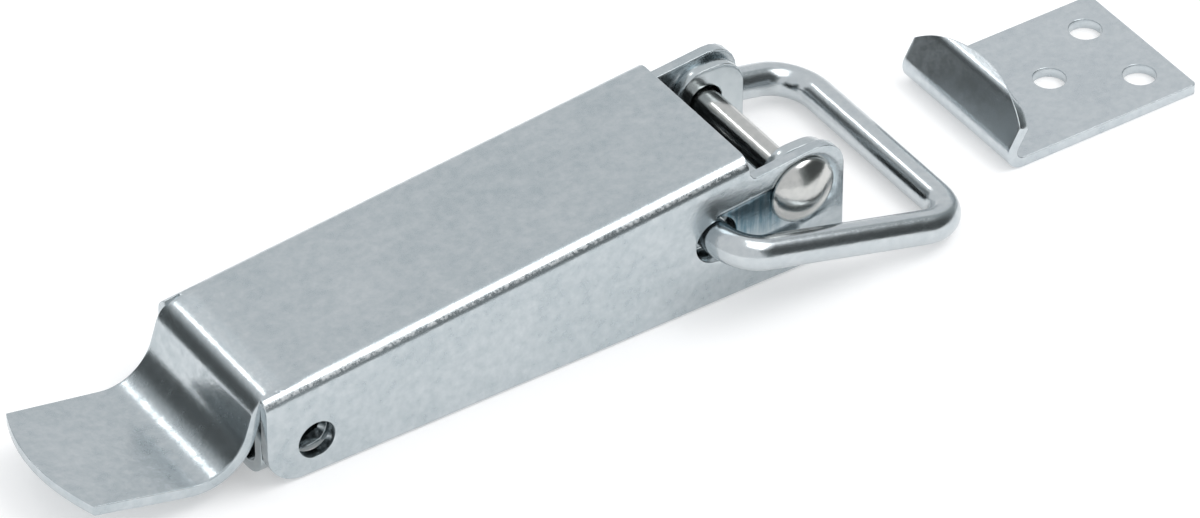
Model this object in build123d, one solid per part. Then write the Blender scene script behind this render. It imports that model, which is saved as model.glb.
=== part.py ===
from build123d import *
import os
from math import asin, cos, degrees, radians, sin, sqrt, tan

# Over centre toggle latch: a pressed channel lever riveted over a channel base,
# a bent wire bail hung in the lever's flanges, and a separate hook keeper.
#
# Millimetres.  X runs along the latch from its thumb tab (-X) to the keeper (+X),
# Y across it, Z up from the surface that the base and the keeper are screwed to.
# The origin lies on that surface, straight below the axis of the pivot rivet.
# The latch is drawn closed, with the bail hanging down and its bar on the surface.

# ---------------------------------------------------------------- driving sizes
SHEET = 2.0                # thickness of the lever, base and keeper sheet
FOLD_R = 3.0               # outer radius of the long folds of lever and base

# pivot rivet
PIVOT_Z = 16.5             # height of the rivet axis over the mounting surface
RIVET_D = 5.5              # shank diameter
HEAD_D = 12.4              # made head, on the near (-Y) side
HEAD_EDGE = 1.5            # height of a head's rim
HEAD_H = 3.4               # made head's height
SNAP_D = 11.0              # head closed by the riveting tool, on the far side
SNAP_H = 2.8
RIVET_RUNNING = 0.08       # radial clearance of the shank in the base ears
RIVET_SEAT = 0.03          # radial clearance of the shank in the lever ears
RIVET_COUNTERSINK = 0.6    # chamfer of the base ears' holes, on their inner faces

# lever
LEVER_W = 34.0             # width over the flanges
LEVER_LIFT = 0.4           # gap from the flange edge to the mounting surface
PLATE_SLOPE = 5.3          # degrees, top plate, higher at the pivot end
PLATE_Z0 = 28.4            # height of the top plate's surface, extended to x = 0
PLATE_FRONT = -10.9        # x of the top plate's front edge
LEVER_TAIL = -105.7        # x of the flanges' tail edge
TAIL_R = 5.0               # rounded lower tail corner of a flange
EAR_DROP = 4.3             # the ears' top edge below the line of the top plate
EAR_FRONT = 8.3            # x of the lever ears' front edge
EAR_R = 4.0                # rounded top corner of a lever ear
EAR_NECK_R = 1.0           # inside corner where an ear meets the top plate's edge
LOCK_D = 7.0               # padlock hole through lever and base
LOCK_EDGE = 9.4            # its axis to the flanges' tail edge
LOCK_Z = 6.9

# thumb tab, as the outline of its upper surface
NECK_SETBACK = 2.0         # each side of the neck, from the flange beside it
TAB_TAPER = 1.9            # how much narrower the tab is at its end corners
NECK_PROUD = 0.6           # corner of top plate and neck, past the flanges' tail edge
NECK_LEAN = 17.6           # degrees that the neck leans out from upright
NECK_FOOT_Z = 3.9          # height of the corner between neck and tab
TAB_RISE = 12.5            # degrees that the tab climbs outwards
TAB_REACH = 30.7           # from that corner out to the tab's end corners
TAB_CROWN = 2.7            # how far the rounded end stands out between them
NECK_TOP_R = 3.5
NECK_FOOT_R = 5.7

# pressed dish around each rivet head, with a tail that runs back to the bail hole
DISH_DEPTH = 0.9
DISH_RIM = 0.7             # clear ring round the rivet head, at the flange's face
DISH_DRAFT = 30.0          # degrees that its wall leans
DISH_TAIL = 0.3            # how far its tail reaches past the bail's axis
DISH_TAIL_TOP = 18.7       # height of the tail's upper edge at its end
DISH_TAIL_H = 0.8          # height of the tail's blunt end
DISH_TOP = 20.1            # height of that edge where it meets the round dish

# bail
WIRE_D = 6.0
BAIL_X = -17.5             # axis on which the bail turns
BAIL_Z = 14.1
BAIL_SPAN = 45.0           # along X from that axis to the axis of the cross bar
BAIL_HEAD_GAP = 0.7        # bail arm to the crown of the rivet head beside it
BAIL_SPLAY = 1.9           # how far each arm splays out towards the cross bar
BAIL_TIP_GAP = 0.35        # end of each inturned leg to the base wall beside it
BAIL_TIP_EDGE = 0.3
BAIL_BEND_R = 6.0          # leg bend, on the wire's axis
BAIL_CORNER_R = 7.5        # cross bar corners, on the wire's axis
BAIL_PLAY = 1.8            # radial play of the bent wire in its open hole
BAIL_OFF = 1.15            # hole centre, ahead of the hanging wire and below it

# base
DISH_GAP = 0.3             # base ear to the inner face of the dished lever ear
BASE_PAST = 1.0            # its tail edge, past the flanges' tail edge
BASE_TAIL_R = 6.0
WALL_OVER_LOCK = 3.0       # side wall over the padlock hole, at the tail
WALL_FRONT_H = 10.75       # side wall height in front, where the ear rises from it
WALL_FRONT = -25.0         # x where the wall has come down to that height
BASE_EAR_LEFT = -14.0      # x where the wall starts to rise into an ear
BASE_EAR_TOP = -2.5        # x where that flank reaches the ear's top
BASE_EAR_DROP = 0.9        # base ear's top edge below the lever ear's
BASE_EAR_BACK = 0.6        # base ear's front edge behind the lever ear's
BASE_EAR_R = 5.0
SCREW_D = 6.0              # screw holes of base and keeper
BASE_SCREW_FRONT = -26.0   # x of the screw hole nearest the pivot
BASE_SCREW_EDGE = 14.7     # the last screw hole to the base's tail edge
BASE_SCREWS = 3

# keeper
KEEPER_X = 44.1            # foremost point of the hook
KEEPER_L = 40.8            # from there to the plate's end
KEEPER_NARROW = 2.8        # how much narrower it is than the lever
HOOK_LEAN = 29.0           # degrees that the hook leans back over its plate
HOOK_R = 3.5               # outer radius of the hook's foot
HOOK_CREASE = 13.3         # along the hook's face, foot corner to second bend
LIP_TURN = 40.0            # degrees that the lip is turned down further
LIP_R = 2.5
LIP_ARC_R = 24.0           # arched free edge of the hook
LIP_ARC_TOP = 15.7         # its crown, along the hook's face from the foot corner
KEEPER_EDGE = 6.7          # plate end to the pair of screw holes
KEEPER_PAIR = 15.8         # between the two holes of the pair
KEEPER_SINGLE = 13.65      # from the pair to the single hole
CORNER_R = 0.8             # plate corners of the keeper, seen from above

# ---------------------------------------------------------------- worked out
SLOPE_TAN = tan(radians(PLATE_SLOPE))
SWING_R = PIVOT_Z - LEVER_LIFT                     # ear corner's way past the surface
NECK_W = LEVER_W - 2 * NECK_SETBACK
TAB_W = NECK_W - TAB_TAPER
NECK_TOP_X = LEVER_TAIL - NECK_PROUD
TAB_END = NECK_TOP_X - TAB_REACH
LOCK_X = LEVER_TAIL + LOCK_EDGE
DISH_R = HEAD_D / 2 + DISH_RIM
DISH_TAIL_X = BAIL_X - DISH_TAIL
HEAD_SEAT = LEVER_W / 2 - DISH_DEPTH               # rivet head's seat, from the middle
BASE_W = LEVER_W - 2 * (SHEET + DISH_DEPTH + DISH_GAP)
BASE_TAIL = LEVER_TAIL - BASE_PAST
WALL_TAIL_H = LOCK_Z + LOCK_D / 2 + WALL_OVER_LOCK
BASE_SCREW_LAST = BASE_TAIL + BASE_SCREW_EDGE
BASE_SCREW_PITCH = (BASE_SCREW_FRONT - BASE_SCREW_LAST) / (BASE_SCREWS - 1)
BAIL_HALF_ROOT = HEAD_SEAT + HEAD_H + BAIL_HEAD_GAP + WIRE_D / 2
BAIL_HALF_BAR = BAIL_HALF_ROOT + BAIL_SPLAY
BAIL_HOLE_D = WIRE_D + 2 * BAIL_PLAY
BAIL_TIP = BASE_W / 2 + BAIL_TIP_GAP
KEEPER_W = LEVER_W - KEEPER_NARROW
BAIL_FALL = BAIL_Z - WIRE_D / 2                    # the bar lies on the surface
BAIL_REACH = sqrt(BAIL_SPAN ** 2 + BAIL_FALL ** 2)
BAIL_DROOP = degrees(asin(BAIL_FALL / BAIL_REACH))
TALL = 3 * PLATE_Z0                                # higher than everything
WIDE = 2 * LEVER_W                                 # wider than the lever


def plate_z(x):
    """Height of the top plate's upper surface at x."""
    return PLATE_Z0 + SLOPE_TAN * x


def ear_z(x):
    """Height of the lever ears' top edge at x."""
    return plate_z(x) - EAR_DROP


def nearest(sketch, x, z):
    """Corner of a side view sketch, in its own plane, that lies nearest to (x, z)."""
    return sketch.vertices().sort_by_distance((x, z, 0))[0]


def cross_bore(x, z, diameter):
    """Cylinder along Y, for a hole through both sides."""
    return Pos(x, 0, z) * Rot(90, 0, 0) * Cylinder(diameter / 2, WIDE)


def screw_bore(x, y):
    return Pos(x, y, 0) * Cylinder(SCREW_D / 2, TALL)


def channel(width, height, length):
    """Folded sheet channel, open downwards: its ridge lies along X at z = 0."""
    outer = Pos(0, 0, -height / 2) * Box(length, width, height)
    outer = fillet(outer.edges().filter_by(Axis.X).group_by(Axis.Z)[-1], FOLD_R)
    hollow = Pos(0, 0, -SHEET - height / 2) * Box(2 * length, width - 2 * SHEET, height)
    hollow = fillet(hollow.edges().filter_by(Axis.X).group_by(Axis.Z)[-1], FOLD_R - SHEET)
    return outer - hollow


def bent_strip(corners, radii, width):
    """Sheet bent along a line of (x, z) corners; it lies to the right of that line.

    The radii are those of the line itself.  A bend to the left has the sheet on
    its outer side, so the far face gets a larger radius there, and the other way.
    """
    points = [Vector(x, 0, z) for x, z in corners]
    runs = [(b - a).normalized() for a, b in zip(points, points[1:])]
    normals = [Vector(run.Z, 0, -run.X) for run in runs]
    far_points = [points[0] + normals[0] * SHEET]
    far_radii = []
    for point, before, after, run, radius in zip(points[1:], normals, normals[1:], runs, radii):
        middle = (before + after).normalized()
        far_points.append(point + middle * (SHEET / middle.dot(before)))
        turns_right = run.dot(after) < 0
        far_radii.append(radius - SHEET if turns_right else radius + SHEET)
    far_points.append(points[-1] + normals[-1] * SHEET)
    near_face = FilletPolyline(*points, radius=radii)
    far_face = FilletPolyline(*far_points, radius=far_radii)
    ends = [Line(points[0], far_points[0]), Line(points[-1], far_points[-1])]
    section = make_face([*near_face.edges(), *far_face.edges(), *ends])
    return extrude(section, amount=width / 2, both=True)


# ---------------------------------------------------------------- lever
def lever_side():
    """Side view of the flanges and ears, left open above the top plate."""
    above = TALL
    corner_z = PIVOT_Z - sqrt(SWING_R ** 2 - EAR_FRONT ** 2)
    half_z = PIVOT_Z - sqrt(SWING_R ** 2 - (EAR_FRONT / 2) ** 2)
    with BuildSketch(Plane.XZ) as sketch:
        with BuildLine():
            Polyline((PLATE_FRONT, above), (LEVER_TAIL, above), (LEVER_TAIL, LEVER_LIFT), (0, LEVER_LIFT))
            ThreePointArc((0, LEVER_LIFT), (EAR_FRONT / 2, half_z), (EAR_FRONT, corner_z))
            Polyline((EAR_FRONT, corner_z), (EAR_FRONT, ear_z(EAR_FRONT)),
                     (PLATE_FRONT, ear_z(PLATE_FRONT)), (PLATE_FRONT, above))
        make_face()
        fillet(nearest(sketch, LEVER_TAIL, LEVER_LIFT), TAIL_R)
        fillet(nearest(sketch, EAR_FRONT, ear_z(EAR_FRONT)), EAR_R)
        fillet(nearest(sketch, PLATE_FRONT, ear_z(PLATE_FRONT)), EAR_NECK_R)
    return extrude(sketch.sketch, amount=LEVER_W, both=True)


def thumb_tab():
    """Strip that runs on from the top plate, down the neck and out to the tab."""
    overlap = 2 * NECK_TOP_R
    start_x = NECK_TOP_X + overlap
    neck_top_z = plate_z(NECK_TOP_X)
    foot_x = NECK_TOP_X - tan(radians(NECK_LEAN)) * (neck_top_z - NECK_FOOT_Z)
    end_x = TAB_END - 2 * TAB_CROWN
    end_z = NECK_FOOT_Z + tan(radians(TAB_RISE)) * (foot_x - end_x)
    corners = [(end_x, end_z), (foot_x, NECK_FOOT_Z), (NECK_TOP_X, neck_top_z), (start_x, plate_z(start_x))]
    strip = bent_strip(corners, [NECK_FOOT_R, NECK_TOP_R], NECK_W)
    with BuildSketch() as plan:
        with BuildLine():
            Polyline((TAB_END, TAB_W / 2), (NECK_TOP_X, NECK_W / 2), (start_x, NECK_W / 2),
                     (start_x, -NECK_W / 2), (NECK_TOP_X, -NECK_W / 2), (TAB_END, -TAB_W / 2))
            ThreePointArc((TAB_END, -TAB_W / 2), (TAB_END - TAB_CROWN, 0), (TAB_END, TAB_W / 2))
        make_face()
    return strip & extrude(plan.sketch, amount=TALL)


def dish(face_y, side):
    """Solid of the dish pressed in from a face at face_y, on the +1 or -1 side."""
    plane = Plane(origin=(0, face_y, 0), x_dir=(1, 0, 0), z_dir=(0, -side, 0))
    up = side
    with BuildSketch(plane) as outline:
        with Locations((0, up * PIVOT_Z)):
            Circle(DISH_R)
        with BuildLine():
            Polyline((DISH_TAIL_X, up * DISH_TAIL_TOP), (-DISH_R / 2, up * DISH_TOP),
                     (-DISH_R / 2, up * (PIVOT_Z - DISH_R / 2)),
                     (DISH_TAIL_X, up * (DISH_TAIL_TOP - DISH_TAIL_H)), close=True)
        make_face()
    return extrude(outline.sketch, amount=DISH_DEPTH, taper=DISH_DRAFT)


def lever():
    length = 2 * (EAR_FRONT - LEVER_TAIL)
    folded = channel(LEVER_W, 2 * PLATE_Z0, length)
    body = Pos(0, 0, PLATE_Z0) * Rot(0, -PLATE_SLOPE, 0) * folded
    body = body & lever_side()
    bend_start = NECK_TOP_X + NECK_TOP_R
    notch = Pos(bend_start - NECK_TOP_R, 0, plate_z(bend_start)) * Box(2 * NECK_TOP_R, NECK_W, 2 * FOLD_R)
    body = body - notch + thumb_tab()
    for side in (-1, 1):
        body += dish(side * (LEVER_W / 2 - SHEET), side)
        body -= dish(side * LEVER_W / 2, side)
    body -= cross_bore(0, PIVOT_Z, RIVET_D + 2 * RIVET_SEAT)
    body -= cross_bore(BAIL_X + BAIL_OFF, BAIL_Z - BAIL_OFF, BAIL_HOLE_D)
    body -= cross_bore(LOCK_X, LOCK_Z, LOCK_D)
    return body


# ---------------------------------------------------------------- pivot rivet
def rivet_head(diameter, height):
    """Domed head standing on z = 0: a short rim and a dome on it."""
    radius = diameter / 2
    with BuildSketch(Plane.XZ) as half:
        with BuildLine():
            Polyline((0, height), (0, 0), (radius, 0), (radius, HEAD_EDGE))
            RadiusArc((radius, HEAD_EDGE), (0, height), -dome_radius(radius, height - HEAD_EDGE))
        make_face()
    return revolve(half.sketch, Axis.Z)


def dome_radius(base, rise):
    """Radius of the sphere whose cap has this base radius and rise."""
    return (base ** 2 + rise ** 2) / (2 * rise)


def pivot_rivet():
    shank = Pos(0, 0, PIVOT_Z) * Rot(90, 0, 0) * Cylinder(RIVET_D / 2, 2 * HEAD_SEAT)
    near_head = Pos(0, -HEAD_SEAT, PIVOT_Z) * Rot(90, 0, 0) * rivet_head(HEAD_D, HEAD_H)
    far_head = Pos(0, HEAD_SEAT, PIVOT_Z) * Rot(-90, 0, 0) * rivet_head(SNAP_D, SNAP_H)
    return shank + near_head + far_head


# ---------------------------------------------------------------- bail
def wire_bail():
    """Round wire bent to a loop, with both ends turned in through the lever."""
    tip = Vector(0, -BAIL_TIP, 0)
    root = Vector(0, -BAIL_HALF_ROOT, 0)
    bar = Vector(BAIL_REACH, -BAIL_HALF_BAR, 0)
    mirrored = [Vector(point.X, -point.Y, 0) for point in (bar, root, tip)]
    radii = [BAIL_BEND_R, BAIL_CORNER_R, BAIL_CORNER_R, BAIL_BEND_R]
    path = FilletPolyline(tip, root, bar, *mirrored, radius=radii)
    section = Plane(origin=path @ 0, z_dir=path % 0) * Circle(WIRE_D / 2)
    wire = sweep(section, path)
    rims = wire.edges().filter_by(GeomType.CIRCLE)
    tips = [rim for rim in rims if abs(abs(rim.center().Y) - BAIL_TIP) < BAIL_TIP_EDGE]
    wire = chamfer(tips, BAIL_TIP_EDGE)
    return Pos(BAIL_X, 0, BAIL_Z) * Rot(0, BAIL_DROOP, 0) * wire


# ---------------------------------------------------------------- base
def base_side():
    """Side view of the base's walls and ears."""
    top_z = ear_z(0) - BASE_EAR_DROP
    front = EAR_FRONT - BASE_EAR_BACK
    corners = [(BASE_TAIL, 0), (front, 0), (front, top_z), (BASE_EAR_TOP, top_z),
               (BASE_EAR_LEFT, WALL_FRONT_H), (WALL_FRONT, WALL_FRONT_H), (BASE_TAIL, WALL_TAIL_H)]
    radii = [0, 0, BASE_EAR_R, BASE_EAR_R, BASE_EAR_R, 0, BASE_TAIL_R]
    with BuildSketch(Plane.XZ) as sketch:
        with BuildLine():
            FilletPolyline(*corners, radius=radii, close=True)
        make_face()
    return extrude(sketch.sketch, amount=LEVER_W, both=True)


def base_plate():
    length = 2 * (EAR_FRONT - BASE_TAIL)
    body = Rot(180, 0, 0) * channel(BASE_W, 2 * PLATE_Z0, length)
    body = body & base_side()
    bore_r = RIVET_D / 2 + RIVET_RUNNING
    body -= cross_bore(0, PIVOT_Z, 2 * bore_r)
    inner_y = BASE_W / 2 - SHEET
    for side in (-1, 1):
        cone = Cone(bore_r, bore_r + RIVET_COUNTERSINK, RIVET_COUNTERSINK)
        middle_y = side * (inner_y + RIVET_COUNTERSINK / 2)
        body -= Pos(0, middle_y, PIVOT_Z) * Rot(90 * side, 0, 0) * cone
    body -= cross_bore(LOCK_X, LOCK_Z, LOCK_D)
    for i in range(BASE_SCREWS):
        body -= screw_bore(BASE_SCREW_FRONT - i * BASE_SCREW_PITCH, 0)
    return body


# ---------------------------------------------------------------- keeper
def arch_cutter(foot, up):
    """What lies outside the arched edge, on a flat that rises from foot along up."""
    centre = foot + up * (LIP_ARC_TOP - LIP_ARC_R)
    plane = Plane(origin=centre, x_dir=(0, 1, 0), z_dir=(up.Z, 0, -up.X))
    outside = Rectangle(4 * LIP_ARC_R, 4 * LIP_ARC_R) - Circle(LIP_ARC_R)
    return extrude(plane * outside, amount=2 * SHEET, both=True)


def keeper():
    """Flat plate whose end is bent up and back into a hook with a turned lip."""
    lip_lean = HOOK_LEAN + LIP_TURN
    hook_up = Vector(sin(radians(HOOK_LEAN)), 0, cos(radians(HOOK_LEAN)))
    lip_up = Vector(sin(radians(lip_lean)), 0, cos(radians(lip_lean)))
    plate_end = KEEPER_X + KEEPER_L
    foot = Vector(KEEPER_X + HOOK_R - HOOK_R * tan(radians(90 + HOOK_LEAN) / 2), 0, 0)
    crease = foot + hook_up * HOOK_CREASE
    lip_end = crease + lip_up * (LIP_ARC_TOP - HOOK_CREASE + SHEET)
    corners = [(plate_end, 0), (foot.X, 0), (crease.X, crease.Z), (lip_end.X, lip_end.Z)]
    strip = bent_strip(corners, [HOOK_R, LIP_R], KEEPER_W)
    bend_plane = Plane(origin=crease, z_dir=hook_up + lip_up)
    lip = split(strip, bend_plane, keep=Keep.TOP) - arch_cutter(crease - lip_up * HOOK_CREASE, lip_up)
    plate = split(strip, bend_plane, keep=Keep.BOTTOM) - arch_cutter(foot, hook_up)
    plate += lip
    end_corners = plate.edges().filter_by(Axis.Z).group_by(Axis.X)[-1]
    plate = fillet(end_corners, CORNER_R)
    pair_x = plate_end - KEEPER_EDGE
    for side in (-1, 1):
        plate -= screw_bore(pair_x, side * KEEPER_PAIR / 2)
    return plate - screw_bore(pair_x - KEEPER_SINGLE, 0)


if __name__ == "__main__":
    os.makedirs("parts", exist_ok=True)
    pieces = {
        "lever": lever(),
        "pivot_rivet": pivot_rivet(),
        "wire_bail": wire_bail(),
        "base_plate": base_plate(),
        "keeper": keeper(),
    }
    for name, solid in pieces.items():
        export_step(solid, f"parts/{name}.step")
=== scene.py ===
from math import atan2, cos, pi, radians, sin, sqrt, tan

import bpy
from mathutils import Matrix, Vector


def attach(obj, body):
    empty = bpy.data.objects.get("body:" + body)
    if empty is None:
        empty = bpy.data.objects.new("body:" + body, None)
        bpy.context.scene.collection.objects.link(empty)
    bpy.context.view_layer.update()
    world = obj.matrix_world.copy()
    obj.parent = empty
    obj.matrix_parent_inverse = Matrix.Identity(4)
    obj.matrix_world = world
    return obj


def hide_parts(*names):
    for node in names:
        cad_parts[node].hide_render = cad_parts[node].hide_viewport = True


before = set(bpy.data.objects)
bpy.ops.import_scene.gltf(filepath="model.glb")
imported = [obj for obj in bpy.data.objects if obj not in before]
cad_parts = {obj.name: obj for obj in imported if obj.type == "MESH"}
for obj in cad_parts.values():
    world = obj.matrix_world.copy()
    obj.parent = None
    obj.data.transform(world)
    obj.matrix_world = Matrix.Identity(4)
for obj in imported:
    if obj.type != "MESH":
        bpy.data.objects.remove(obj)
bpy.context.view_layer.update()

# ---------------------------------------------------------------- camera
# A long lens on the near side of the tail end, looking down on the closed latch with the
# keeper in front of it.
IMAGE_WIDTH = 1200
FOCAL_PX = 7364.154
SENSOR_MM = 36.0
CLIP_NEAR = 0.05
CLIP_FAR = 20
CAMERA_PLACE = (-0.56721, -0.80508, 0.78011)
CAMERA_LOOK = Vector((0.43318, 0.64870, -0.62573))

camera_turn = CAMERA_LOOK.to_track_quat("-Z", "Y").to_euler()
bpy.ops.object.camera_add(location=CAMERA_PLACE, rotation=camera_turn)
camera = bpy.context.object
camera.data.sensor_width = SENSOR_MM
camera.data.lens = FOCAL_PX / IMAGE_WIDTH * SENSOR_MM
camera.data.clip_start = CLIP_NEAR
camera.data.clip_end = CLIP_FAR
bpy.context.scene.camera = camera
bpy.context.scene.view_settings.view_transform = "Standard"

# ---------------------------------------------------------------- studio
# A white table in a pale room, one large soft lamp overhead to the right, a small one
# behind, and two dark cloth screens off to the sides that give the bright metal its
# contrast.
TABLE_Z = -0.00005
TABLE_SIZE = 8.0
TABLE_COLOUR = (0.80, 0.80, 0.80, 1)
TABLE_GLOW = 0.31
WHITE = (1, 1, 1, 1)
ROOM_COLOUR = (0.83, 0.84, 0.855, 1)
OVERHEAD_LAMP = {"place": (0.46, -0.36, 1.08), "size": (0.95, 0.56), "watts": 4.5}
BACK_LAMP = {"place": (-0.16, 0.86, 0.99), "size": (0.20, 0.13), "watts": 0.45}
SCREEN_TINT = (0.90, 0.98, 1.0, 1)
SCREEN_AWAY = 0.90            # from the latch out to a screen
SCREEN_STEPS = 24
SKIRT_NEAR = 0.22             # a screen's skirt lies on the table up to here
SKIRT_Z = 0.0004
SCREENS = {                   # round from and to in degrees, and the heights there;
    "screen_right": {         # the darkest spot, and how far off and how much it fades
        "round": (-82, 20), "tops": (0.74, 0.84), "heart": (-38, 0.30),
        "fade": (0.30, 0.95), "strength": (0.09, 0.46)},
    "screen_left": {
        "round": (112, 156), "tops": (0.84, 0.60), "heart": (136, 0.25),
        "fade": (0.22, 0.60), "strength": (0.10, 0.40)},
}

bpy.ops.object.select_all(action="DESELECT")
bpy.ops.mesh.primitive_plane_add(size=TABLE_SIZE, location=(0, 0, TABLE_Z))
table = bpy.context.object
table.name = "table_top"
table_white = bpy.data.materials.new("table_white")
table_white.use_nodes = True
tree = table_white.node_tree
tree.nodes.clear()
out = tree.nodes.new("ShaderNodeOutputMaterial")
paint = tree.nodes.new("ShaderNodeBsdfDiffuse")
paint.inputs["Color"].default_value = TABLE_COLOUR
glow = tree.nodes.new("ShaderNodeEmission")
glow.inputs["Color"].default_value = WHITE
ray = tree.nodes.new("ShaderNodeLightPath")
seen = tree.nodes.new("ShaderNodeMath")
seen.operation = "MAXIMUM"
seen_through = tree.nodes.new("ShaderNodeMath")
seen_through.operation = "MAXIMUM"
glow_level = tree.nodes.new("ShaderNodeMath")
glow_level.operation = "MULTIPLY"
glow_level.inputs[1].default_value = TABLE_GLOW
both = tree.nodes.new("ShaderNodeAddShader")
tree.links.new(ray.outputs["Is Camera Ray"], seen.inputs[0])
tree.links.new(ray.outputs["Is Glossy Ray"], seen.inputs[1])
tree.links.new(seen.outputs[0], seen_through.inputs[0])
tree.links.new(ray.outputs["Is Transmission Ray"], seen_through.inputs[1])
tree.links.new(seen_through.outputs[0], glow_level.inputs[0])
tree.links.new(glow_level.outputs[0], glow.inputs["Strength"])
tree.links.new(paint.outputs[0], both.inputs[0])
tree.links.new(glow.outputs[0], both.inputs[1])
tree.links.new(both.outputs[0], out.inputs["Surface"])
table.data.materials.append(table_white)

world = bpy.data.worlds.new("room")
bpy.context.scene.world = world
world.use_nodes = True
world.node_tree.nodes["Background"].inputs["Color"].default_value = ROOM_COLOUR
world.node_tree.nodes["Background"].inputs["Strength"].default_value = 1

for lamp_name, lamp_sizes in (("overhead_lamp", OVERHEAD_LAMP), ("back_lamp", BACK_LAMP)):
    place = Vector(lamp_sizes["place"])
    aim = (-place).to_track_quat("-Z", "Y").to_euler()
    bpy.ops.object.light_add(type="AREA", location=place, rotation=aim)
    lamp = bpy.context.object
    lamp.name = lamp_name
    lamp.data.shape = "RECTANGLE"
    lamp.data.size, lamp.data.size_y = lamp_sizes["size"]
    lamp.data.energy = lamp_sizes["watts"]

for screen_name, screen_sizes in SCREENS.items():
    first, last = screen_sizes["round"]
    first_top, last_top = screen_sizes["tops"]
    heart_turn, heart_z = screen_sizes["heart"]
    bpy.ops.object.select_all(action="DESELECT")
    bpy.ops.mesh.primitive_grid_add(x_subdivisions=SCREEN_STEPS, y_subdivisions=2, size=1)
    screen = bpy.context.object
    screen.name = screen_name
    # three rows of points: the skirt's near edge, the screen's foot and its top
    for vertex in screen.data.vertices:
        along, up = vertex.co.x + 0.5, vertex.co.y
        turn = radians(first + (last - first) * along)
        top = first_top + (last_top - first_top) * along if up > 0.1 else SKIRT_Z
        away = SKIRT_NEAR if up < -0.1 else SCREEN_AWAY
        vertex.co = (away * cos(turn), away * sin(turn), top)
    cloth = bpy.data.materials.new(screen_name)
    cloth.use_nodes = True
    tree = cloth.node_tree
    tree.nodes.clear()
    out = tree.nodes.new("ShaderNodeOutputMaterial")
    place = tree.nodes.new("ShaderNodeTexCoord")
    off_heart = tree.nodes.new("ShaderNodeVectorMath")
    off_heart.operation = "DISTANCE"
    heart_turn = radians(heart_turn)
    off_heart.inputs[1].default_value = (
        SCREEN_AWAY * cos(heart_turn), SCREEN_AWAY * sin(heart_turn), heart_z)
    lift = tree.nodes.new("ShaderNodeMapRange")
    lift.interpolation_type = "SMOOTHSTEP"
    lift.inputs["From Min"].default_value = screen_sizes["fade"][0]
    lift.inputs["From Max"].default_value = screen_sizes["fade"][1]
    lift.inputs["To Min"].default_value = screen_sizes["strength"][0]
    lift.inputs["To Max"].default_value = screen_sizes["strength"][1]
    dark = tree.nodes.new("ShaderNodeEmission")
    dark.inputs["Color"].default_value = SCREEN_TINT
    tree.links.new(place.outputs["Object"], off_heart.inputs[0])
    tree.links.new(off_heart.outputs["Value"], lift.inputs["Value"])
    tree.links.new(lift.outputs["Result"], dark.inputs["Strength"])
    tree.links.new(dark.outputs[0], out.inputs["Surface"])
    screen.data.materials.append(cloth)
    screen.visible_camera = False
    screen.visible_diffuse = False
    screen.visible_shadow = False

# ---------------------------------------------------------------- lever
# Pressed from 2 mm steel sheet: a sloping top plate folded down into two flanges with
# ears, a neck and a thumb tab bent on at the tail, and a field pressed in round the
# rivet.  Barrel plated with bright zinc, galled along its folds by the press tool.
# Painted on: a lighter galled band as a painted highlight, and painted shade in the field.
MM = 0.001                    # sizes are in mm, x from the rivet's axis, z from the table
WELD = 0.001                  # points nearer than this are one
SHEET = 2.0
SHEARED = 0.10                # rounding of the sheared edges
SHEARED_ANGLE = 75            # degrees, the turn from which an edge counts as sheared
SMOOTH_ANGLE = 50
RIM_MERGE = 0.12              # points of a hole's rim nearer than this become one
PLATE_Z0 = 28.4               # height of the top plate's line over the rivet's axis
SLOPE = 5.3                   # degrees that the top plate falls towards the tail
HALF_W = 17.0
FOLD_R = 3.0
STRIP_TURN = 19.5             # part of the fold that runs on into the neck, in degrees
SPLIT_TURN = 24               # the flange begins again here, past the split
FOLD_TURNS = (78, 66, 54, 42, 32, SPLIT_TURN, STRIP_TURN, 9.7)
FLANGE_CELLS = 40
PLATE_CELLS = 14
LIFT = 0.4                    # gap from the flanges' lower edge to the table
FLANGE_TAIL = -105.7
TAIL_CORNER_R = 6.8
TAIL_TURNS = (0, 15, 24, 33, 42, 50)
PLATE_FRONT = -10.9
EAR_DROP = 4.3                # ears' top edge below the top plate's line
EAR_FRONT = 8.3
EAR_CORNER_R = 6.0
EAR_TURNS = (15, 30, 45, 60, 75, 90)
EAR_STEP = 1.2                # length over which an ear's top edge runs up to the fold
PIVOT_Z = 16.5
SWING_R = 16.1                # ears' lower corner, round the rivet's axis
PLATE_CELL = 2.6
EAR_CELL = 0.6
EAR_FIELD_X = -26.0           # fine cells from here to the ears, for their holes
LOCK_FIELD_X = -91.0          # and from here to the tail, for the padlock holes
SPLIT_X = -102.6              # where neck and fold part
NECK_HALF = 15.0
NECK_CORNER = (-106.3, 18.54)
NECK_LEAN = 17.6
NECK_FOOT_Z = 3.9
EASE_FROM_X = -90.0           # a point of the plate well before the neck
EASE_X = -100.6               # where the plate starts to ease over into the neck
EASE_TURN = 7.0
EASE_R = 50.0
NECK_TOP_R = 4.8
NECK_FOOT_R = 8.8
TAB_RISE = 12.5
TAB_END = -137.0              # the tab's end corners; its rounded end stands out past them
TAB_HALF = 14.05
TAB_CROWN = 2.7
TAB_CELLS = 14
FIELD_DEPTH = 0.7             # field pressed in round the rivet
FIELD_R = 7.0
FIELD_SOFT = 1.2              # width of its sloping edge
FIELD_TAIL_X = -17.8
FIELD_FOOT_Z = 8.5
FIELD_TOP_X = 3.5
FIELD_TOP_Z = 20.1
FIELD_TOP_SLOPE = 0.098
LOCK_HOLE = (-96.3, 6.9, 3.5)  # x, z and radius of the holes in each flange
BAIL_HOLE = (-17.3, 13.3, 4.3)
RIVET_HOLE = (0.0, 16.5, 2.8)


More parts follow.
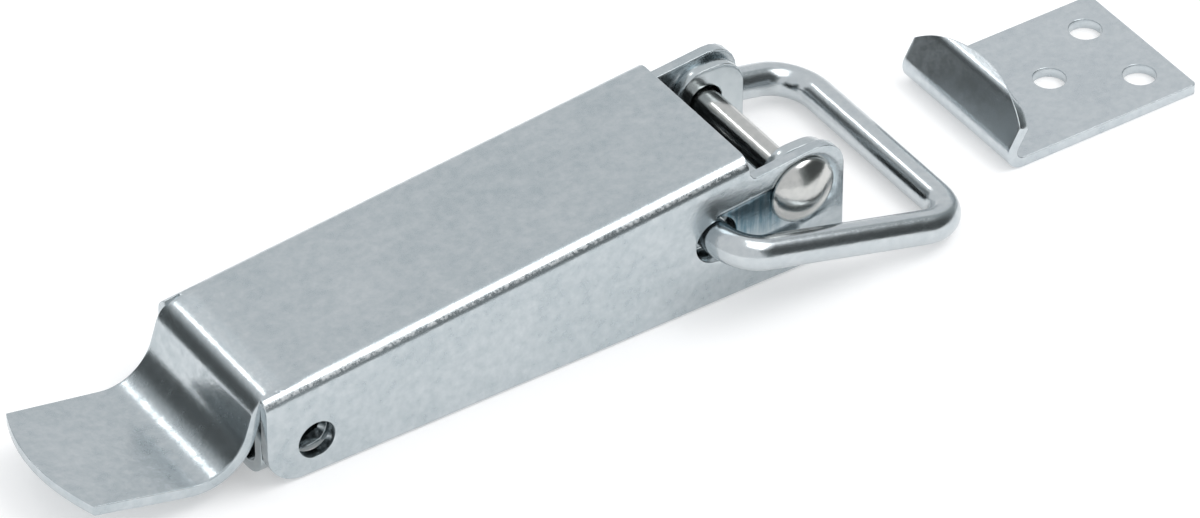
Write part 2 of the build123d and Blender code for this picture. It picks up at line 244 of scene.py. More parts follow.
def rounded_line(corners, radii, turn_step=4.0):
    """Points of an (x, z) line whose corners are rounded by arcs."""
    points = [Vector(corners[0])]
    for before, corner, after, radius in zip(corners, corners[1:], corners[2:], radii):
        before, corner, after = Vector(before), Vector(corner), Vector(after)
        run, next_run = (corner - before).normalized(), (after - corner).normalized()
        turn = run.angle_signed(next_run)
        reach = radius * abs(tan(turn / 2))
        steps = max(2, round(abs(turn) / radians(turn_step)))
        start, end = corner - run * reach, corner + next_run * reach
        middle = (next_run - run).normalized() * (radius / cos(turn / 2)) + corner
        first = atan2(start.y - middle.y, start.x - middle.x)
        last = atan2(end.y - middle.y, end.x - middle.x)
        swing = (last - first + pi) % (2 * pi) - pi
        for i in range(steps + 1):
            angle = first + swing * i / steps
            points.append(middle + Vector((cos(angle), sin(angle))) * radius)
    points.append(Vector(corners[-1]))
    return points


def cells(start, end, size):
    """Evenly spaced values from start to end, about size apart."""
    count = max(1, round(abs(end - start) / size))
    return [start + (end - start) * i / count for i in range(count + 1)]


def pressed_sheet(name, place, columns, rows, holes=(), split=None):
    """A thin sheet from a grid: place(column, row) gives each point, None for none."""
    bpy.ops.object.select_all(action="DESELECT")
    bpy.ops.mesh.primitive_grid_add(x_subdivisions=columns, y_subdivisions=rows, size=1)
    piece = bpy.context.object
    piece.name = name
    sheet = piece.data
    gone_points, gone = set(), set()
    for vertex in sheet.vertices:
        row, column = divmod(vertex.index, columns + 1)
        point = place(column, row)
        if point is None:
            gone_points.add(vertex.index)
        else:
            vertex.co = point
    for face in sheet.polygons:
        row, column = divmod(min(face.vertices), columns + 1)
        if gone_points.intersection(face.vertices) or split and split(column, row):
            gone.add(face.index)
    # a hole takes out the cells inside it, and their outer corners move to its circle
    for centre, flat, radius in holes:
        centre, flat = Vector(centre), Vector(flat)
        through = Vector((1, 1, 1)) - flat
        inside, outside = set(), set()
        for face in sheet.polygons:
            away = face.center - centre
            near = abs(away.dot(through)) < SHEET and (away * flat).length < radius
            if near:
                gone.add(face.index)
            (inside if near else outside).update(face.vertices)
        for index in inside & outside:
            away = (sheet.vertices[index].co - centre) * flat
            sheet.vertices[index].co += away.normalized() * (radius - away.length)
    sheet.transform(Matrix.Scale(MM, 4))
    sheet.polygons.foreach_set("select", [face.index in gone for face in sheet.polygons])
    sheet.edges.foreach_set("select", [False] * len(sheet.edges))
    sheet.vertices.foreach_set("select", [False] * len(sheet.vertices))
    bpy.ops.object.mode_set(mode="EDIT")
    bpy.ops.mesh.select_mode(type="FACE")
    bpy.ops.mesh.delete(type="FACE")
    bpy.ops.mesh.select_mode(type="VERT")
    bpy.ops.mesh.select_all(action="SELECT")
    bpy.ops.mesh.delete_loose(use_verts=True, use_edges=True, use_faces=False)
    bpy.ops.mesh.select_all(action="SELECT")
    bpy.ops.mesh.remove_doubles(threshold=RIM_MERGE * MM)
    bpy.ops.object.mode_set(mode="OBJECT")
    solid = piece.modifiers.new("thickness", "SOLIDIFY")
    solid.thickness = SHEET * MM
    solid.offset = -1
    solid.use_even_offset = True
    solid.use_quality_normals = True
    bpy.ops.object.modifier_apply(modifier=solid.name)
    return piece


def round_edges(piece, width):
    """Rounds the sheared edges of a sheet piece and smooths the rest."""
    sheared = piece.modifiers.new("sheared_edges", "BEVEL")
    sheared.limit_method = "ANGLE"
    sheared.angle_limit = radians(SHEARED_ANGLE)
    sheared.width = width * MM
    sheared.segments = 2
    sheared.use_clamp_overlap = False
    bpy.ops.object.modifier_apply(modifier=sheared.name)
    bpy.ops.object.shade_smooth_by_angle(angle=radians(SMOOTH_ANGLE))


def plate_z(x):
    """Height of the top plate's line at x."""
    return PLATE_Z0 + x * tan(radians(SLOPE))


def flange_foot(x):
    """Height of a flange's lower edge at x."""
    if x < FLANGE_TAIL + TAIL_CORNER_R:
        run = min(FLANGE_TAIL + TAIL_CORNER_R - x, TAIL_CORNER_R)
        return LIFT + TAIL_CORNER_R - sqrt(TAIL_CORNER_R ** 2 - run ** 2)
    if x > 0:
        return PIVOT_Z - sqrt(SWING_R ** 2 - x ** 2)
    return LIFT


def flange_head(x):
    """Height of a flange's upper edge at x: the fold, or the ear's edge past the plate."""
    fold = plate_z(x) - FOLD_R
    if x <= PLATE_FRONT:
        return fold
    ear = plate_z(x) - EAR_DROP
    step = min((x - PLATE_FRONT) / EAR_STEP, 1)
    ear += (fold - ear) * (1 - step) ** 2
    past = x - (EAR_FRONT - EAR_CORNER_R)
    if past > 0:
        ear -= EAR_CORNER_R - sqrt(max(EAR_CORNER_R ** 2 - past ** 2, 0))
    return ear


# middle line of top plate, neck and tab, rounded at its bends
ease_z = plate_z(EASE_X)
neck_slope = tan(radians(NECK_LEAN))
ease_slope = tan(radians(SLOPE + EASE_TURN))
tab_slope = tan(radians(TAB_RISE))
level_x = NECK_CORNER[0] - NECK_CORNER[1] * neck_slope
turn_z = (ease_z + ease_slope * (level_x - EASE_X)) / (1 - ease_slope * neck_slope)
turn_x = level_x + turn_z * neck_slope
foot_x = level_x + NECK_FOOT_Z * neck_slope
tab_far = TAB_END - 2 * TAB_CROWN
spine = rounded_line(
    [(EASE_FROM_X, plate_z(EASE_FROM_X)), (EASE_X, ease_z), (turn_x, turn_z),
     (foot_x, NECK_FOOT_Z), (tab_far, NECK_FOOT_Z + (foot_x - tab_far) * tab_slope)],
    [EASE_R, NECK_TOP_R, NECK_FOOT_R])

# rows, from the tab's end to the ears' front: where the strip is, and where the flanges are
tab_start = spine[-2]
strip_rows = [(tab_start, i / TAB_CELLS) for i in range(TAB_CELLS, 0, -1)]
flange_rows = [None] * len(strip_rows)
bend = [point for point in reversed(spine[1:-1]) if point.x < SPLIT_X]
tail_xs = [FLANGE_TAIL + TAIL_CORNER_R * (1 - cos(radians(turn))) for turn in TAIL_TURNS]
strip_rows += [(point, 0) for point in bend]
flange_rows += [None] * (len(bend) - len(tail_xs)) + tail_xs
plate_run = cells(SPLIT_X, LOCK_FIELD_X, EAR_CELL)
plate_run += cells(LOCK_FIELD_X, EAR_FIELD_X, PLATE_CELL)[1:]
plate_run += cells(EAR_FIELD_X, PLATE_FRONT, EAR_CELL)[1:]
for x in plate_run:
    z = plate_z(x)
    for a, b in zip(spine, spine[1:]):
        if b.x <= x <= a.x:
            z = a.y + (b.y - a.y) * (a.x - x) / (a.x - b.x)
    strip_rows.append((Vector((x, z)), 0))
    flange_rows.append(x)
corner_x = EAR_FRONT - EAR_CORNER_R
ear_run = cells(PLATE_FRONT, corner_x, EAR_CELL)[1:]
ear_run += [corner_x + EAR_CORNER_R * sin(radians(turn)) for turn in EAR_TURNS]
strip_rows += [None] * len(ear_run)
flange_rows += ear_run

# columns, from the far flange's foot over the plate to the near flange's foot
flat_half = HALF_W - FOLD_R
far = [("flange", 1, i / FLANGE_CELLS) for i in range(FLANGE_CELLS + 1)]
far += [("fold", 1, turn) for turn in FOLD_TURNS]
across = [("plate", 0, y) for y in cells(flat_half, -flat_half, 2 * flat_half / PLATE_CELLS)]
near = [(kind, -1, value) for kind, side, value in reversed(far)]
lever_columns = far + across + near
split_columns = [i for i, column in enumerate(lever_columns)
                 if column in (("fold", 1, SPLIT_TURN), ("fold", -1, STRIP_TURN))]
split_from = len(strip_rows) - len(ear_run) - len(plate_run)
strip_half = flat_half + FOLD_R * sin(radians(STRIP_TURN))


def lever_point(column, row):
    """Point of the lever's outer face, None where there is no sheet."""
    kind, side, value = lever_columns[column]
    if kind == "plate" or kind == "fold" and value <= STRIP_TURN:
        if strip_rows[row] is None:
            return None
        point, out = strip_rows[row]
        y = value if kind == "plate" else side * (flat_half + FOLD_R * sin(radians(value)))
        y *= NECK_HALF / strip_half if point.x < NECK_CORNER[0] else 1
        drop = 0
        if kind == "fold":
            fade = (point.x - NECK_CORNER[0]) / (SPLIT_X - NECK_CORNER[0])
            drop = FOLD_R * (1 - cos(radians(value))) * min(max(fade, 0), 1)
        x = point.x
        z = point.y
        if out:
            end_x = TAB_END - TAB_CROWN * (1 - (y / TAB_HALF) ** 2)
            x += (end_x - x) * out
            z += (point.x - x) * tab_slope
        taper = (x - NECK_CORNER[0]) / (TAB_END - NECK_CORNER[0])
        y *= 1 - max(taper, 0) * (1 - TAB_HALF / NECK_HALF)
        return x, y, z - drop
    x = flange_rows[row]
    if x is None:
        return None
    if kind == "fold":
        if x > PLATE_FRONT + WELD:
            return None
        turn = radians(value)
        y = side * (flat_half + FOLD_R * sin(turn))
        return x, y, plate_z(x) - FOLD_R * (1 - cos(turn))
    foot, head = flange_foot(x), flange_head(x)
    return x, side * HALF_W, foot + (head - foot) * value


def lever_split(column, row):
    """Whether a cell is part of the slit between neck and flange."""
    return column in split_columns and row < split_from


lever_holes = [((x, side * HALF_W, z), (1, 0, 1), radius)
               for x, z, radius in (LOCK_HOLE, BAIL_HOLE, RIVET_HOLE) for side in (-1, 1)]
lever = pressed_sheet("lever_pressing", lever_point, len(lever_columns) - 1,
                      len(strip_rows) - 1, lever_holes, lever_split)
round_edges(lever, SHEARED)
# the ears' field is pressed in, and the tab's end edge is cut upright
tab_cut_x = TAB_END + 3 * TAB_CROWN
for vertex in lever.data.vertices:
    x, y, z = vertex.co / MM
    if abs(y) > HALF_W - SHEET - 0.01 and x > EAR_FIELD_X:
        upper = z - (FIELD_TOP_Z + (x + FIELD_TOP_X) * FIELD_TOP_SLOPE)
        round_rivet = sqrt(x ** 2 + (z - PIVOT_Z) ** 2) - FIELD_R
        away = min(round_rivet, max(FIELD_TAIL_X - x, FIELD_FOOT_Z - z, upper, x))
        depth = min(max(-away / FIELD_SOFT, 0), 1)
        pressed = depth ** 2 * (3 - 2 * depth) * FIELD_DEPTH * MM
        vertex.co.y -= pressed * (1 if y > 0 else -1)
    if x < tab_cut_x:
        under = NECK_FOOT_Z + (foot_x - x) * tab_slope - z
        ramp = min((tab_cut_x - x) / TAB_CROWN, 1)
        vertex.co.x += under * sin(radians(TAB_RISE)) * cos(radians(TAB_RISE)) * ramp * MM

ZINC_CLOUD_SCALE = 70.0       # noise scales, to the metre
ZINC_SPANGLE_SCALE = 520.0
ZINC_GRAIN_SCALE = 2600.0
ZINC_STREAK_ACROSS = 2500.0
ZINC_STREAK_ALONG = 35.0
ZINC_SPANGLE_SHARE = 0.65
ZINC_GLOSS_SPREAD = 0.2
ZINC_FINE_DEPTH = 0.05
ZINC_WAVE_DEPTH = 0.12
ZINC_WAVE = 0.25
LEVER_LIGHT = (0.57, 0.61, 0.63, 1)
LEVER_DARK = (0.43, 0.485, 0.51, 1)
# lighter colour of the galled specks: a painted highlight of the overhead lamp on the rough band
GALL_SHEEN_COLOUR = (0.76, 0.79, 0.80, 1)
GALL_GRADE = 0.0928           # the galled band falls with the top plate
GALL_FOOT = (1.55, 1.30)      # below the plate's line, where the band fades out
GALL_HEAD = (0.72, 0.90)
GALL_SIDE = 15.3              # it lies on the folds, outside this
GALL_SPECK_SCALE = 1500.0
GALL_SPECK_EDGE = (0.42, 0.60)
GALL_ROUGHER = 0.25
GALL_PITS = 0.22
GALL_PIT_DEPTH = 0.15
# painted shade and dark reflection in the pressed field round the rivet: a dark blue mixed into
# the zinc there, streaked upright
FIELD_SHADE_COLOUR = (0.11, 0.20, 0.25, 1)
FIELD_SHADE_SIDE = (16.85, 16.50)    # the painted shade deepens with the depth of the pressed field and is on the outer faces only
FIELD_SHADE_INSIDE = 15.6            # and is on the outer faces only
FIELD_SHADE_EDGES = (                # axis, where it is clear, where it is full
    (0, -1.0, -4.5), (2, 21.5, 20.5), (2, 8.0, 13.0), (0, -20.0, -17.5))
SHADE_STREAK_SCALE = (1500.0, 200.0, 120.0)
SHADE_STREAK_EDGE = (0.35, 0.65)
SHADE_STREAK_SHARE = (0.55, 1.0)  # share of the painted shade left in the streaks, and between them


def add_node(tree, kind, settings=None, **links):
    """A shader node with its sockets set; a value that is a socket is linked instead."""
    node = tree.nodes.new(kind)
    for key, value in (settings or {}).items():
        setattr(node, key, value)
    for key, value in links.items():
        numbered = key[0] == "i" and key[1:].isdigit()
        socket = node.inputs[int(key[1:]) if numbered else key.replace("_", " ")]
        if isinstance(value, bpy.types.NodeSocket):
            tree.links.new(value, socket)
        else:
            socket.default_value = value
    return node


def worked(tree, operation, *values):
    """The result of a Math node."""
    values = {"i%d" % i: value for i, value in enumerate(values)}
    return add_node(tree, "ShaderNodeMath", {"operation": operation}, **values).outputs[0]


def ranged(tree, value, low, high, start=0.0, end=1.0):
    """A value from low to high mapped onto start to end, and held there beyond."""
    return add_node(tree, "ShaderNodeMapRange", Value=value, From_Min=low, From_Max=high,
                    To_Min=start, To_Max=end).outputs[0]


def noise(tree, place, scale, detail, roughness):
    """The grey value of a Noise Texture."""
    return add_node(tree, "ShaderNodeTexNoise", Vector=place, Scale=scale, Detail=detail,
                    Roughness=roughness).outputs[0]


def mixed(tree, share, first, second):
    """The first colour, with a share of the second."""
    return add_node(tree, "ShaderNodeMix", {"data_type": "RGBA"}, i0=share, i6=first,
                    i7=second).outputs[2]


def raised(tree, height, strength, depth, normal=None):
    """A normal bent by a height; depth is in mm."""
    bump = add_node(tree, "ShaderNodeBump", Strength=strength, Distance=depth * MM, Height=height)
    if normal:
        tree.links.new(normal, bump.inputs["Normal"])
    return bump.outputs[0]


def zinc(name, light, dark, rough, mottle, grain_bump, streak_axis):
    """Bright zinc plating: clouded and mottled colour, uneven gloss and drawing streaks."""
    material = bpy.data.materials.new(name)
    material.use_nodes = True
    tree = material.node_tree
    shader = tree.nodes["Principled BSDF"]
    shader.inputs["Metallic"].default_value = 1
    place = add_node(tree, "ShaderNodeTexCoord").outputs["Object"]
    cloud = noise(tree, place, ZINC_CLOUD_SCALE, 3.0, 0.6)
    spangle = noise(tree, place, ZINC_SPANGLE_SCALE, 4.0, 0.65)
    grain = noise(tree, place, ZINC_GRAIN_SCALE, 2.0, 0.6)
    stretch = [ZINC_STREAK_ACROSS] * 3
    stretch[streak_axis] = ZINC_STREAK_ALONG
    drawn = add_node(tree, "ShaderNodeMapping", Vector=place, Scale=stretch).outputs[0]
    streak = noise(tree, drawn, 1.0, 2.0, 0.5)
    blend = worked(tree, "MULTIPLY_ADD", spangle, ZINC_SPANGLE_SHARE, 0.0)
    blend = worked(tree, "MULTIPLY_ADD", cloud, 1 - ZINC_SPANGLE_SHARE, blend)
    tone = ranged(tree, blend, 0.5 - mottle, 0.5 + mottle)
    gloss = ranged(tree, blend, 0.5 - ZINC_GLOSS_SPREAD, 0.5 + ZINC_GLOSS_SPREAD,
                   rough[1], rough[0])
    tree.links.new(mixed(tree, tone, dark, light), shader.inputs["Base Color"])
    tree.links.new(gloss, shader.inputs["Roughness"])
    relief = worked(tree, "MULTIPLY_ADD", grain, 0.5, streak)
    fine = raised(tree, relief, grain_bump, ZINC_FINE_DEPTH)
    wave = raised(tree, spangle, ZINC_WAVE, ZINC_WAVE_DEPTH, fine)
    tree.links.new(wave, shader.inputs["Normal"])
    return material


lever_zinc = zinc("lever_zinc", LEVER_LIGHT, LEVER_DARK, rough=(0.17, 0.31), mottle=0.17,
                  grain_bump=0.14, streak_axis=0)
tree = lever_zinc.node_tree
shader = tree.nodes["Principled BSDF"]
zinc_colour = shader.inputs["Base Color"].links[0].from_socket
zinc_gloss = shader.inputs["Roughness"].links[0].from_socket
zinc_relief = shader.inputs["Normal"].links[0].from_socket
place = add_node(tree, "ShaderNodeTexCoord").outputs["Object"]
axes = add_node(tree, "ShaderNodeSeparateXYZ", Vector=place).outputs
side = worked(tree, "ABSOLUTE", axes[1])
line_z = worked(tree, "MULTIPLY_ADD", axes[0], -GALL_GRADE, axes[2])
# band along each fold that the press tool galled: rougher and pitted, with its specks painted
# lighter, a painted highlight of the overhead lamp
band = ranged(tree, line_z, (PLATE_Z0 - GALL_FOOT[0]) * MM, (PLATE_Z0 - GALL_FOOT[1]) * MM)
head = ranged(tree, line_z, (PLATE_Z0 - GALL_HEAD[0]) * MM, (PLATE_Z0 - GALL_HEAD[1]) * MM)
band = worked(tree, "MULTIPLY", band, head)
band = worked(tree, "MULTIPLY", band, worked(tree, "GREATER_THAN", side, GALL_SIDE * MM))
speck = noise(tree, place, GALL_SPECK_SCALE, 3.0, 0.7)
galled_sheen = worked(tree, "MULTIPLY", band, ranged(tree, speck, *GALL_SPECK_EDGE))
pits = worked(tree, "MULTIPLY", speck, band)
# painted shade and dark reflection in the pressed field, dark blue with upright streaks
field_shade = ranged(tree, side, FIELD_SHADE_SIDE[0] * MM, FIELD_SHADE_SIDE[1] * MM)
field_shade = worked(tree, "MULTIPLY", field_shade, worked(tree, "GREATER_THAN", side, FIELD_SHADE_INSIDE * MM))
for axis, clear, full in FIELD_SHADE_EDGES:
    field_shade = worked(tree, "MULTIPLY", field_shade, ranged(tree, axes[axis], clear * MM, full * MM))
drawn = add_node(tree, "ShaderNodeMapping", Vector=place, Scale=SHADE_STREAK_SCALE).outputs[0]
shade_streaks = noise(tree, drawn, 1.0, 2.0, 0.6)
shade_streaks = ranged(tree, shade_streaks, *SHADE_STREAK_EDGE, *SHADE_STREAK_SHARE)
field_shade = worked(tree, "MULTIPLY", field_shade, shade_streaks)
# painted shade: the zinc darkened to blue in the pressed field
shaded_zinc = mixed(tree, field_shade, zinc_colour, FIELD_SHADE_COLOUR)
# painted highlight: the galled specks are mixed towards the lighter colour
tree.links.new(mixed(tree, galled_sheen, shaded_zinc, GALL_SHEEN_COLOUR), shader.inputs["Base Color"])
rougher = worked(tree, "MULTIPLY_ADD", galled_sheen, GALL_ROUGHER, zinc_gloss)
tree.links.new(rougher, shader.inputs["Roughness"])
pitted = raised(tree, pits, GALL_PITS, GALL_PIT_DEPTH, zinc_relief)
tree.links.new(pitted, shader.inputs["Normal"])
lever.data.materials.append(lever_zinc)
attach(lever, "lever")
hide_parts("lever")

# ---------------------------------------------------------------- pivot rivet
# Turned steel rivet with a domed head on the near side and a flatter one closed by the
# riveting tool on the far side, zinc plated.
RIVET_R = 2.75
SEAT_Y = 16.3                 # from the middle to the face that a head sits on
RIM_H = 0.8
RIM_EDGE = 0.35
NEAR_HEAD = (6.2, 3.4)        # radius and height
FAR_HEAD = (5.5, 2.8)
DOME_RINGS = 10
DOME_INSET = 0.3              # the dome starts inside the rim, by this share of its edge
ROUND_STEPS = 64
RIVET_LIGHT = (0.61, 0.61, 0.59, 1)
RIVET_DARK = (0.50, 0.51, 0.50, 1)

bpy.ops.object.select_all(action="DESELECT")
bpy.ops.mesh.primitive_cylinder_add(vertices=ROUND_STEPS, radius=RIVET_R * MM,
                                    depth=2 * SEAT_Y * MM, rotation=(radians(90), 0, 0))
rivet = bpy.context.object
rivet.name = "pivot_rivet_turned"
bpy.ops.object.transform_apply(location=True, rotation=True, scale=True)
for side, (head_r, head_h) in ((-1, NEAR_HEAD), (1, FAR_HEAD)):
    bpy.ops.object.mode_set(mode="EDIT")
    bpy.ops.mesh.select_mode(type="FACE")
    bpy.ops.mesh.select_all(action="DESELECT")
    bpy.ops.object.mode_set(mode="OBJECT")
    for face in rivet.data.polygons:
        face.select = face.normal.y * side > 0.99 and face.center.y * side > 0
    bpy.ops.object.mode_set(mode="EDIT")
    dome_r = (head_r ** 2 + (head_h - RIM_H) ** 2) / (2 * (head_h - RIM_H))
    rings = [(RIVET_R, 0), (head_r - RIM_EDGE, 0), (head_r, RIM_EDGE),
             (head_r, RIM_H - RIM_EDGE)]
    for i in range(DOME_RINGS):
        radius = (head_r - DOME_INSET * RIM_EDGE) * (1 - i / DOME_RINGS)
        rings.append((radius, head_h - dome_r + sqrt(dome_r ** 2 - radius ** 2)))
    for (r0, h0), (r1, h1) in zip(rings, rings[1:]):
        rise = (0, side * (h1 - h0) * MM, 0)
        bpy.ops.mesh.extrude_region_move(TRANSFORM_OT_translate={"value": rise})
        bpy.ops.transform.resize(value=(r1 / r0, 1, r1 / r0), center_override=(0, 0, 0))
    bpy.ops.object.mode_set(mode="OBJECT")
rivet.data.transform(Matrix.Translation((0, 0, PIVOT_Z * MM)))
bpy.ops.object.mode_set(mode="EDIT")
bpy.ops.mesh.select_all(action="SELECT")
bpy.ops.mesh.remove_doubles(threshold=WELD * MM)
bpy.ops.mesh.normals_make_consistent(inside=False)
bpy.ops.object.mode_set(mode="OBJECT")
bpy.ops.object.shade_smooth_by_angle(angle=radians(SMOOTH_ANGLE))
rivet_zinc = zinc("rivet_zinc", RIVET_LIGHT, RIVET_DARK, rough=(0.14, 0.24), mottle=0.16,
                  grain_bump=0.16, streak_axis=1)
rivet.data.materials.append(rivet_zinc)
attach(rivet, "lever")
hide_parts("pivot_rivet")

# ---------------------------------------------------------------- wire bail
# 6 mm drawn wire bent round four corners, its two ends turned in through the lever's
# open holes, bright plated.
WIRE_R = 3.0
WIRE_SIDES = 36
BAIL_X = -17.5                # the axis that the bail hangs on
BAIL_Z = 14.1
BAIL_FALL = 11.1              # from that axis down to the cross bar
BAIL_SPAN = 45.0              # and along to it
BAIL_TIP = 14.4               # half of: the gap between the wire's two ends,
BAIL_HALF_ROOT = 23.2         # the width over the arms' axes at the lever,
BAIL_HALF_BAR = 25.1          # and at the cross bar
BAIL_BEND_R = 6.0
BAIL_CORNER_R = 7.5
BEND_STEPS = 14
BAIL_LIGHT = (0.60, 0.635, 0.65, 1)
BAIL_DARK = (0.50, 0.545, 0.57, 1)

bail_reach = sqrt(BAIL_SPAN ** 2 + BAIL_FALL ** 2)
line = [Vector(point) * MM for point in (
    (0, -BAIL_TIP, 0), (0, -BAIL_HALF_ROOT, 0), (bail_reach, -BAIL_HALF_BAR, 0),
    (bail_reach, BAIL_HALF_BAR, 0), (0, BAIL_HALF_ROOT, 0), (0, BAIL_TIP, 0))]
radii = [BAIL_BEND_R, BAIL_CORNER_R, BAIL_CORNER_R, BAIL_BEND_R]
bpy.ops.object.select_all(action="DESELECT")
bpy.ops.mesh.primitive_circle_add(vertices=WIRE_SIDES, radius=WIRE_R * MM, location=line[0],
                                  rotation=(radians(90), 0, 0))
bail = bpy.context.object
bail.name = "wire_bail_bent"
bpy.ops.object.transform_apply(location=True, rotation=True, scale=True)
bpy.ops.object.mode_set(mode="EDIT")
bpy.ops.mesh.select_mode(type="EDGE")
bpy.ops.mesh.select_all(action="SELECT")
here = line[0]
for before, corner, after, radius in zip(line, line[1:], line[2:], radii):
    run = (corner - before).normalized()
    next_run = (after - corner).normalized()
    turn = run.angle(next_run)
    side = run.cross(next_run).normalized()
    reach = radius * MM * tan(turn / 2)
    straight = corner - run * reach - here
    bpy.ops.mesh.extrude_region_move(TRANSFORM_OT_translate={"value": straight})
    centre = corner - run * reach + side.cross(run) * radius * MM
    bpy.ops.mesh.spin(steps=BEND_STEPS, angle=-turn, center=centre, axis=side)
    here = corner + next_run * reach
bpy.ops.mesh.extrude_region_move(TRANSFORM_OT_translate={"value": line[-1] - here})
bpy.ops.mesh.select_all(action="SELECT")
bpy.ops.mesh.remove_doubles(threshold=WELD * MM)
bpy.ops.mesh.select_all(action="DESELECT")
bpy.ops.mesh.select_non_manifold()
bpy.ops.mesh.edge_face_add()
bpy.ops.mesh.select_all(action="SELECT")
bpy.ops.mesh.normals_make_consistent(inside=False)
bpy.ops.object.mode_set(mode="OBJECT")
hang = Matrix.Translation(Vector((BAIL_X, 0, BAIL_Z)) * MM)
bail.data.transform(hang @ Matrix.Rotation(atan2(BAIL_FALL, BAIL_SPAN), 4, "Y"))
bpy.ops.object.shade_smooth_by_angle(angle=radians(SMOOTH_ANGLE))
bail_zinc = zinc("bail_zinc", BAIL_LIGHT, BAIL_DARK, rough=(0.16, 0.26), mottle=0.20,
                 grain_bump=0.12, streak_axis=0)
bail.data.materials.append(bail_zinc)
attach(bail, "bail")
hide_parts("wire_bail")

# ---------------------------------------------------------------- base
# Channel of the same sheet under the lever, open upwards, with two ears that the rivet
# runs in and three screw holes down its floor.  Zinc plated like the lever.
BASE_HALF = 14.1
BASE_FOLD_R = 4.5
BASE_FOLD_TURNS = (0, 15, 30, 45, 60, 75, 90)
BASE_TAIL = -105.3
BASE_FRONT = 7.9
BASE_CELL = 0.7
WALL_CELLS = 18
FLOOR_CELLS = 26
WALL_LINE = [(BASE_TAIL, 13.4), (-25, 10.75), (-14, 10.75), (-2.5, 23.3), (BASE_FRONT, 23.3)]
WALL_LINE_R = [0.5, 5.0, 5.0]
WALL_TAIL_R = 6.0
EAR_TOP_R = 5.5
CORNER_TURNS = (0, 15, 27, 39, 51, 62, 72, 81)
BORE_R = 2.83
COUNTERSINK = 0.6             # round the bores, on the ears' inner faces
COUNTERSINK_REACH = 1.5       # how far out it fades away
EAR_FACE_SLACK = 0.3          # takes in the rounded rims of the ears' inner faces
SCREW_R = 3.0
BASE_SCREW_XS = (-26, -59, -92)
BASE_LIGHT = (0.56, 0.60, 0.615, 1)
BASE_DARK = (0.49, 0.54, 0.56, 1)

wall_line = rounded_line(WALL_LINE, WALL_LINE_R)


def wall_top(x):
    """Height of the base's wall or ear at x."""
    z = wall_line[-1].y
    for a, b in zip(wall_line, wall_line[1:]):
        if a.x <= x <= b.x:
            z = a.y + (b.y - a.y) * (x - a.x) / max(b.x - a.x, 1e-6)
            break
    run = BASE_TAIL + WALL_TAIL_R - x
    if run > 0:
        z -= WALL_TAIL_R - sqrt(max(WALL_TAIL_R ** 2 - run ** 2, 0))
    run = x - BASE_FRONT + EAR_TOP_R
    if run > 0:
        z -= EAR_TOP_R - sqrt(max(EAR_TOP_R ** 2 - run ** 2, 0))
    return z


corner_steps = [1 - cos(radians(turn)) for turn in CORNER_TURNS]
base_rows = [BASE_TAIL + WALL_TAIL_R * step for step in corner_steps]
base_rows += cells(BASE_TAIL + WALL_TAIL_R, BASE_FRONT - EAR_TOP_R, BASE_CELL)
base_rows += [BASE_FRONT - EAR_TOP_R * step for step in reversed(corner_steps)]
floor_half = BASE_HALF - BASE_FOLD_R
floor_ys = cells(-floor_half, floor_half, 2 * floor_half / FLOOR_CELLS)[1:-1]
near_columns = [("wall", -1, 1 - i / WALL_CELLS) for i in range(WALL_CELLS)]
near_columns += [("fold", -1, turn) for turn in reversed(BASE_FOLD_TURNS)]
base_columns = near_columns + [("floor", 0, y) for y in floor_ys]
base_columns += [(kind, 1, value) for kind, side, value in reversed(near_columns)]


def base_point(column, row):
    """Point of the base's outer face."""
    kind, side, value = base_columns[column]
    x = base_rows[row]
    if kind == "floor":
        return x, value, 0
    if kind == "fold":
        turn = radians(value)
        y = side * (floor_half + BASE_FOLD_R * sin(turn))
        return x, y, BASE_FOLD_R * (1 - cos(turn))
    return x, side * BASE_HALF, BASE_FOLD_R + (wall_top(x) - BASE_FOLD_R) * value


base_holes = [((0, side * BASE_HALF, PIVOT_Z), (1, 0, 1), BORE_R) for side in (-1, 1)]
base_holes += [((LOCK_HOLE[0], side * BASE_HALF, LOCK_HOLE[1]), (1, 0, 1), LOCK_HOLE[2])
               for side in (-1, 1)]
base_holes += [((x, 0, 0), (1, 1, 0), SCREW_R) for x in BASE_SCREW_XS]
base = pressed_sheet("base_channel", base_point, len(base_columns) - 1, len(base_rows) - 1,
                     base_holes)
round_edges(base, SHEARED)
for vertex in base.data.vertices:
    x, y, z = vertex.co / MM
    away = Vector((x, z - PIVOT_Z))
    reach = 1 - (away.length - BORE_R) / COUNTERSINK_REACH
    on_inner_face = abs(y) < BASE_HALF - SHEET + EAR_FACE_SLACK
    if on_inner_face and 0 < reach < 1.01:
        away = away.normalized() * COUNTERSINK * reach * MM
        vertex.co += Vector((away.x, 0, away.y))
base_zinc = zinc("base_zinc", BASE_LIGHT, BASE_DARK, rough=(0.16, 0.26), mottle=0.18,
                 grain_bump=0.10, streak_axis=0)
base.data.materials.append(base_zinc)
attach(base, "base")
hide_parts("base_plate")

# ---------------------------------------------------------------- keeper
# Small plate of the same sheet with three screw holes, one end bent up and back into a
# hook with an arched, turned lip; screwed down in front of the latch.
KEEPER_HALF = 15.6
KEEPER_END = 84.9
KEEPER_FRONT = 44.1
KEEPER_CELL = 0.62
HOOK_LEAN = 29.0              # degrees that the hook leans back over its plate
HOOK_R = 3.5
HOOK_CELLS = 36
HOOK_TURN_STEP = 7
CREASE = 13.3                 # along the hook's face, from its foot corner
LIP_TURN = 40.0
LIP_R = 2.5
ARCH_R = 24.0
ARCH_TOP = 15.7               # the arched edge's crown, along the hook's face
KEEPER_HOLES = ((78.2, -7.9), (78.2, 7.9), (64.55, 0))
PLATE_CORNER = 0.25           # how far the plate's end corners are drawn in
KEEPER_LIGHT = (0.63, 0.67, 0.69, 1)
KEEPER_DARK = (0.50, 0.55, 0.58, 1)

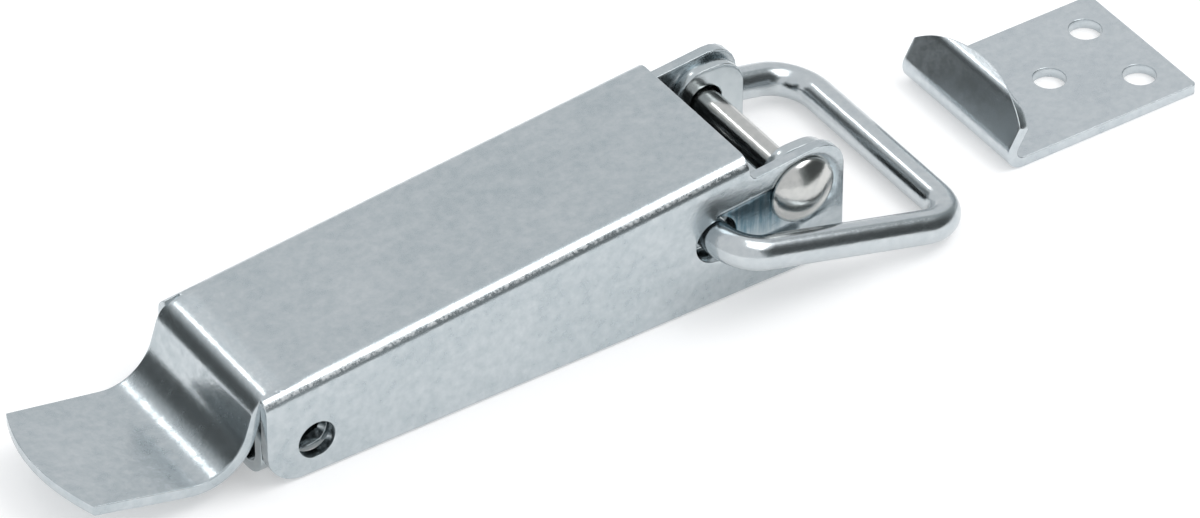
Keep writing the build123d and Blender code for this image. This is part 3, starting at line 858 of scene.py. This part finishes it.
foot_run = HOOK_R * tan(radians(45 + HOOK_LEAN / 2))
hook_foot = KEEPER_FRONT + HOOK_R - foot_run
lip_run = LIP_R * tan(radians(LIP_TURN / 2))
hook_rows = [("hook", 1 - i / HOOK_CELLS) for i in range(HOOK_CELLS)]
hook_rows += [("bend", turn) for turn in cells(90 + HOOK_LEAN, 0, HOOK_TURN_STEP)]
hook_rows += [("plate", x) for x in cells(hook_foot + foot_run, KEEPER_END, KEEPER_CELL)[1:]]
keeper_ys = cells(-KEEPER_HALF, KEEPER_HALF, KEEPER_CELL)


def hook_face(s):
    """Point (x, z) of the hook's outer face, s along it from its foot corner."""
    lean, out = radians(HOOK_LEAN), radians(HOOK_LEAN + LIP_TURN)
    up, over = Vector((sin(lean), cos(lean))), Vector((sin(out), cos(out)))
    foot = Vector((hook_foot, 0))
    if s <= CREASE - lip_run:
        return foot + up * s
    if s >= CREASE + lip_run:
        return foot + up * CREASE + over * (s - CREASE)
    turn = lean + radians(LIP_TURN) * (s - CREASE + lip_run) / (2 * lip_run)
    centre = foot + up * (CREASE - lip_run) + Vector((cos(lean), -sin(lean))) * LIP_R
    return centre + Vector((-cos(turn), sin(turn))) * LIP_R


def keeper_point(column, row):
    """Point of the keeper's outer face."""
    y = keeper_ys[column]
    kind, value = hook_rows[row]
    if kind == "hook":
        edge = ARCH_TOP - ARCH_R + sqrt(ARCH_R ** 2 - y ** 2)
        place = hook_face(foot_run + (edge - foot_run) * value)
        return place.x, y, place.y
    if kind == "bend":
        turn = radians(value)
        return hook_foot + foot_run - HOOK_R * sin(turn), y, HOOK_R * (1 - cos(turn))
    if row == len(hook_rows) - 1 and column in (0, len(keeper_ys) - 1):
        return value - PLATE_CORNER, y - PLATE_CORNER * (1 if y > 0 else -1), 0
    return value, y, 0


keeper_holes = [((x, y, 0), (1, 1, 0), SCREW_R) for x, y in KEEPER_HOLES]
keeper = pressed_sheet("keeper_hook", keeper_point, len(keeper_ys) - 1, len(hook_rows) - 1,
                       keeper_holes)
round_edges(keeper, SHEARED)
keeper_zinc = zinc("keeper_zinc", KEEPER_LIGHT, KEEPER_DARK, rough=(0.18, 0.30), mottle=0.18,
                   grain_bump=0.05, streak_axis=1)
keeper.data.materials.append(keeper_zinc)
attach(keeper, "base")
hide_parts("keeper")
